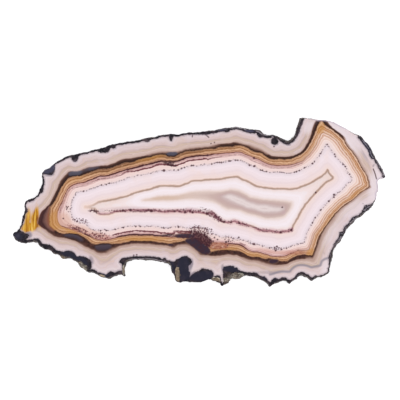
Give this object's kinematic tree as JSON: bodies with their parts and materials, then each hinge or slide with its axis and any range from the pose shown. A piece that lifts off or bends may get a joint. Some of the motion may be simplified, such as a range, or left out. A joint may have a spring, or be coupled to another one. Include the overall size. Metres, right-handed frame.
{
  "type": "agate slice",
  "caption": "Flat polished slice of banded agate with a rough natural rim, for display or as a coaster or tray insert.",
  "frame": {"origin": "on the lower sawn face, at the middle of the box round the outline", "axes": "+X along the slice's length towards the horned end, +Y across it towards the long curved side, +Z out of the upper polished face"},
  "size_m": [0.1494, 0.0684, 0.005],
  "materials": {
    "agate": "polished faces, rough natural rim"
  },
  "bodies": {
    "root": {"agate_slice": "agate"}
  },
  "joints": []
}
